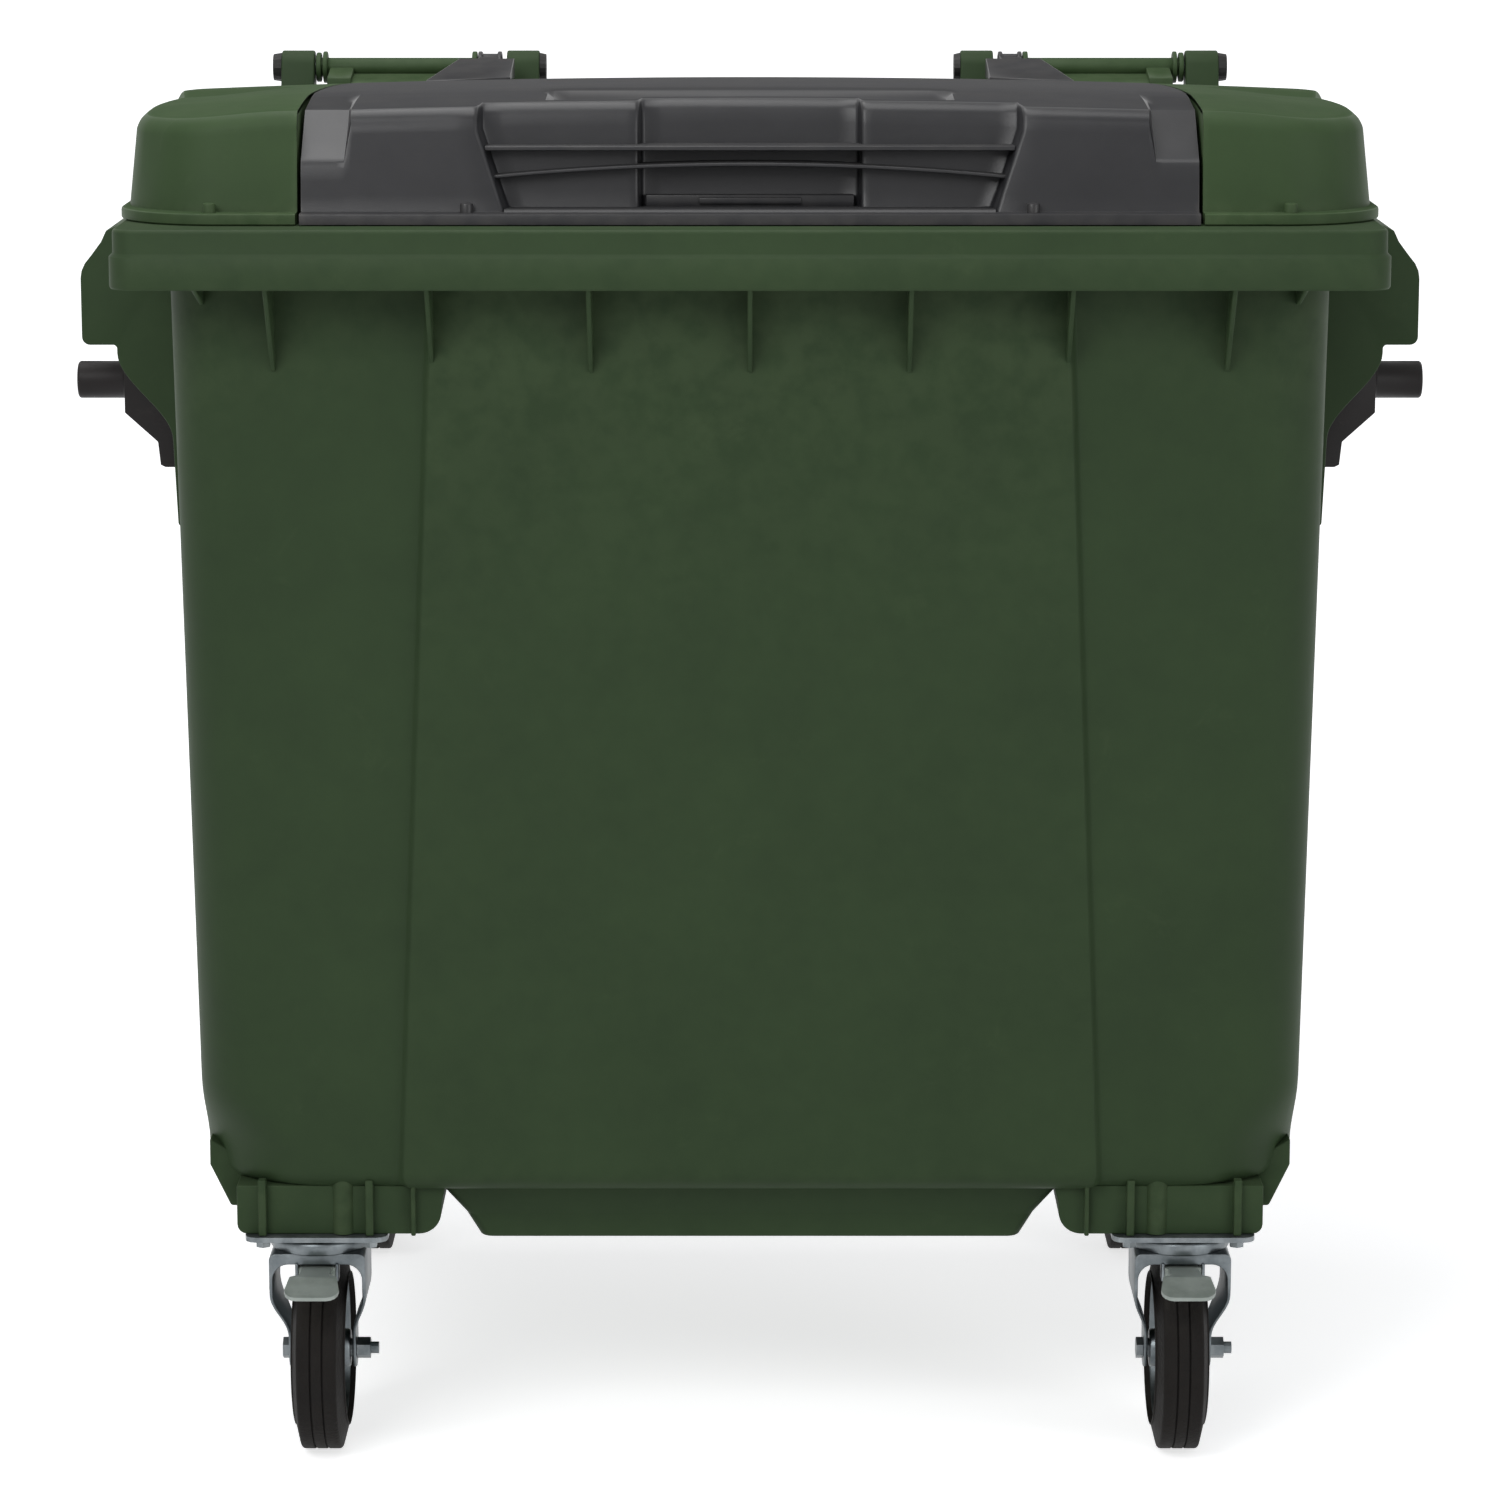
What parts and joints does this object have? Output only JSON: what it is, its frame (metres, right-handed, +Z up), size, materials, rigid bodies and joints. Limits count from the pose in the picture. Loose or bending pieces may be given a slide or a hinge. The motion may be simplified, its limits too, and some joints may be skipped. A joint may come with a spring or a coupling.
{
  "type": "wheeled waste container",
  "caption": "Large moulded waste container on swivel casters, with trunnions for lifting and a hinged lid that has a smaller hinged lid set in it.",
  "frame": {"origin": "on the floor, under the middle of the container's bounding box", "axes": "+X along the trunnions to the right as seen from the front, +Y towards the hinges at the rear, +Z up"},
  "size_m": [1.377, 1.06, 1.3494],
  "materials": {
    "green_plastic": "dark green moulded polyethylene, fine satin surface",
    "green_lid_plastic": "dark green moulded polyethylene lid, satin",
    "dark_grey_plastic": "dark grey moulded polyethylene, satin gloss",
    "black_plastic": "black moulded cap",
    "black_painted_steel": "dark brown-black paint",
    "zinc_plated_steel": "zinc plated, dull blue-grey",
    "pressed_steel": "pressed and zinc plated, worn bright at its edge",
    "black_rubber": "solid black rubber"
  },
  "bodies": {
    "tub_body": {"tub": "green_plastic", "trunnion_left": "black_painted_steel", "trunnion_right": "black_painted_steel", "hinge_pin_left": "zinc_plated_steel", "hinge_pin_right": "zinc_plated_steel", "hinge_cap_left_outer": "black_plastic", "hinge_cap_left_inner": "black_plastic", "hinge_cap_right_outer": "black_plastic", "hinge_cap_right_inner": "black_plastic", "plate_bolt_front_left_1": "zinc_plated_steel", "plate_bolt_front_left_2": "zinc_plated_steel", "plate_bolt_front_left_3": "zinc_plated_steel", "plate_bolt_front_left_4": "zinc_plated_steel", "top_plate_front_left": "zinc_plated_steel", "plate_bolt_front_right_1": "zinc_plated_steel", "plate_bolt_front_right_2": "zinc_plated_steel", "plate_bolt_front_right_3": "zinc_plated_steel", "plate_bolt_front_right_4": "zinc_plated_steel", "top_plate_front_right": "zinc_plated_steel", "plate_bolt_rear_left_1": "zinc_plated_steel", "plate_bolt_rear_left_2": "zinc_plated_steel", "plate_bolt_rear_left_3": "zinc_plated_steel", "plate_bolt_rear_left_4": "zinc_plated_steel", "top_plate_rear_left": "zinc_plated_steel", "plate_bolt_rear_right_1": "zinc_plated_steel", "plate_bolt_rear_right_2": "zinc_plated_steel", "plate_bolt_rear_right_3": "zinc_plated_steel", "plate_bolt_rear_right_4": "zinc_plated_steel", "top_plate_rear_right": "zinc_plated_steel"},
    "outer_lid_body": {"outer_lid": "green_lid_plastic"},
    "inner_lid_body": {"inner_lid": "dark_grey_plastic"},
    "swivel_front_left_body": {"swivel_fork_front_left": "zinc_plated_steel", "axle_bolt_front_left": "zinc_plated_steel", "axle_nut_front_left": "zinc_plated_steel", "axle_sleeve_front_left": "zinc_plated_steel", "brake_pin_front_left": "zinc_plated_steel"},
    "wheel_front_left_body": {"tyre_front_left": "black_rubber", "wheel_hub_front_left": "zinc_plated_steel"},
    "brake_front_left_body": {"brake_pedal_front_left": "pressed_steel"},
    "swivel_front_right_body": {"swivel_fork_front_right": "zinc_plated_steel", "axle_bolt_front_right": "zinc_plated_steel", "axle_nut_front_right": "zinc_plated_steel", "axle_sleeve_front_right": "zinc_plated_steel", "brake_pin_front_right": "zinc_plated_steel"},
    "wheel_front_right_body": {"tyre_front_right": "black_rubber", "wheel_hub_front_right": "zinc_plated_steel"},
    "brake_front_right_body": {"brake_pedal_front_right": "pressed_steel"},
    "swivel_rear_left_body": {"swivel_fork_rear_left": "zinc_plated_steel", "axle_bolt_rear_left": "zinc_plated_steel", "axle_nut_rear_left": "zinc_plated_steel", "axle_sleeve_rear_left": "zinc_plated_steel"},
    "wheel_rear_left_body": {"tyre_rear_left": "black_rubber", "wheel_hub_rear_left": "zinc_plated_steel"},
    "swivel_rear_right_body": {"swivel_fork_rear_right": "zinc_plated_steel", "axle_bolt_rear_right": "zinc_plated_steel", "axle_nut_rear_right": "zinc_plated_steel", "axle_sleeve_rear_right": "zinc_plated_steel"},
    "wheel_rear_right_body": {"tyre_rear_right": "black_rubber", "wheel_hub_rear_right": "zinc_plated_steel"}
  },
  "joints": [
    {"name": "outer_lid_hinge", "type": "hinge", "parent": "tub_body", "child": "outer_lid_body", "pos_m": [0, 0.5115, 1.322], "axis": [-1, 0, 0], "range_deg": [0, 250]},
    {"name": "inner_lid_hinge", "type": "hinge", "parent": "outer_lid_body", "child": "inner_lid_body", "pos_m": [0, 0.5115, 1.322], "axis": [-1, 0, 0], "range_deg": [0, 250]},
    {"name": "swivel_front_left", "type": "hinge", "parent": "tub_body", "child": "swivel_front_left_body", "pos_m": [-0.4255, -0.345, 0.2145], "axis": [0, 0, 1], "continuous": true},
    {"name": "wheel_spin_front_left", "type": "hinge", "parent": "swivel_front_left_body", "child": "wheel_front_left_body", "pos_m": [-0.4255, -0.322, 0.1], "axis": [1, 0, 0], "continuous": true},
    {"name": "brake_pedal_front_left", "type": "hinge", "parent": "swivel_front_left_body", "child": "brake_front_left_body", "pos_m": [-0.4255, -0.381, 0.196], "axis": [1, 0, 0], "range_deg": [0, 12]},
    {"name": "swivel_front_right", "type": "hinge", "parent": "tub_body", "child": "swivel_front_right_body", "pos_m": [0.4255, -0.345, 0.2145], "axis": [0, 0, 1], "continuous": true},
    {"name": "wheel_spin_front_right", "type": "hinge", "parent": "swivel_front_right_body", "child": "wheel_front_right_body", "pos_m": [0.4255, -0.322, 0.1], "axis": [1, 0, 0], "continuous": true},
    {"name": "brake_pedal_front_right", "type": "hinge", "parent": "swivel_front_right_body", "child": "brake_front_right_body", "pos_m": [0.4255, -0.381, 0.196], "axis": [1, 0, 0], "range_deg": [0, 12]},
    {"name": "swivel_rear_left", "type": "hinge", "parent": "tub_body", "child": "swivel_rear_left_body", "pos_m": [-0.4255, 0.355, 0.2145], "axis": [0, 0, 1], "continuous": true},
    {"name": "wheel_spin_rear_left", "type": "hinge", "parent": "swivel_rear_left_body", "child": "wheel_rear_left_body", "pos_m": [-0.4255, 0.378, 0.1], "axis": [1, 0, 0], "continuous": true},
    {"name": "swivel_rear_right", "type": "hinge", "parent": "tub_body", "child": "swivel_rear_right_body", "pos_m": [0.4255, 0.355, 0.2145], "axis": [0, 0, 1], "continuous": true},
    {"name": "wheel_spin_rear_right", "type": "hinge", "parent": "swivel_rear_right_body", "child": "wheel_rear_right_body", "pos_m": [0.4255, 0.378, 0.1], "axis": [1, 0, 0], "continuous": true}
  ]
}
